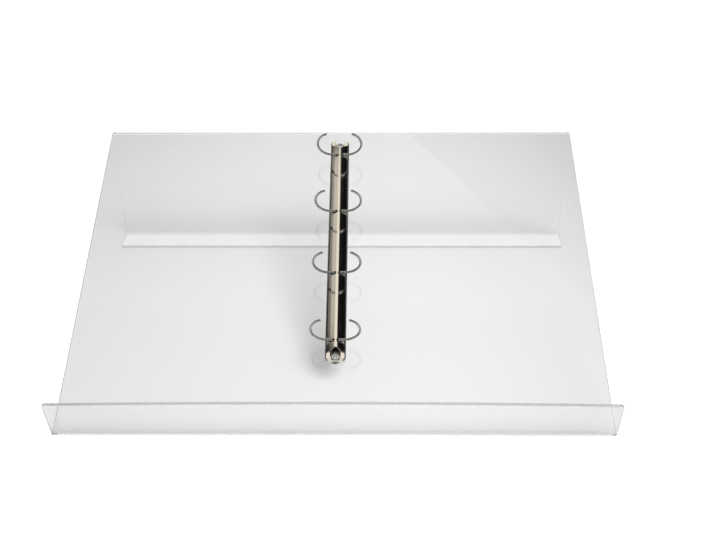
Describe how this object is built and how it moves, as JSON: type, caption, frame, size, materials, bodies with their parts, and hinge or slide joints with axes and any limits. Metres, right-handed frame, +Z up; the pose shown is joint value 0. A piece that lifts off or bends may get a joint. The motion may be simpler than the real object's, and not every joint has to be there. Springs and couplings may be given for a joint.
{
  "type": "ring binder document stand",
  "caption": "Clear sloping stand bent from one sheet, with a front lip, rear leg and foot flange, and a riveted ring mechanism whose ring halves swing open and shut together.",
  "frame": {"origin": "on the table, under the middle of the whole object's box", "axes": "+X to the reader's right along the board's width, +Y from the front lip to the rear leg, +Z up; the front faces -Y"},
  "size_m": [0.489, 0.3847, 0.1524],
  "materials": {
    "clear_acrylic": "clear cast acrylic with polished faces and edges",
    "nickel_cover": "bright nickel plate on sprung steel strip",
    "nickel_wire": "bright nickel plate on round wire",
    "blade_steel": "nickel-plated steel strip, satin",
    "rivet_nickel": "bright nickel-plated hollow rivet and washer"
  },
  "bodies": {
    "stand": {"acrylic_stand": "clear_acrylic", "ring_cover": "nickel_cover", "rivet_lower": "rivet_nickel", "rivet_washer_lower": "rivet_nickel", "rivet_upper": "rivet_nickel", "rivet_washer_upper": "rivet_nickel"},
    "left_rings": {"hinge_blade_left": "blade_steel", "ring_half_left_1": "nickel_wire", "ring_half_left_2": "nickel_wire", "ring_half_left_3": "nickel_wire", "ring_half_left_4": "nickel_wire"},
    "right_rings": {"hinge_blade_right": "blade_steel", "ring_half_right_1": "nickel_wire", "ring_half_right_2": "nickel_wire", "ring_half_right_3": "nickel_wire", "ring_half_right_4": "nickel_wire"}
  },
  "joints": [
    {"name": "left_rings_hinge", "type": "hinge", "parent": "stand", "child": "left_rings", "pos_m": [-0.00775, 0.02914, 0.07788], "axis": [0, 0.9397, 0.342], "range_deg": [0, 21]},
    {"name": "right_rings_hinge", "type": "hinge", "parent": "stand", "child": "right_rings", "pos_m": [0.00775, 0.02914, 0.07788], "axis": [0, -0.9397, -0.342], "range_deg": [0, 21]}
  ],
  "couplings": [
    {"joint": "right_rings_hinge", "follows": "left_rings_hinge", "ratio": 1}
  ]
}
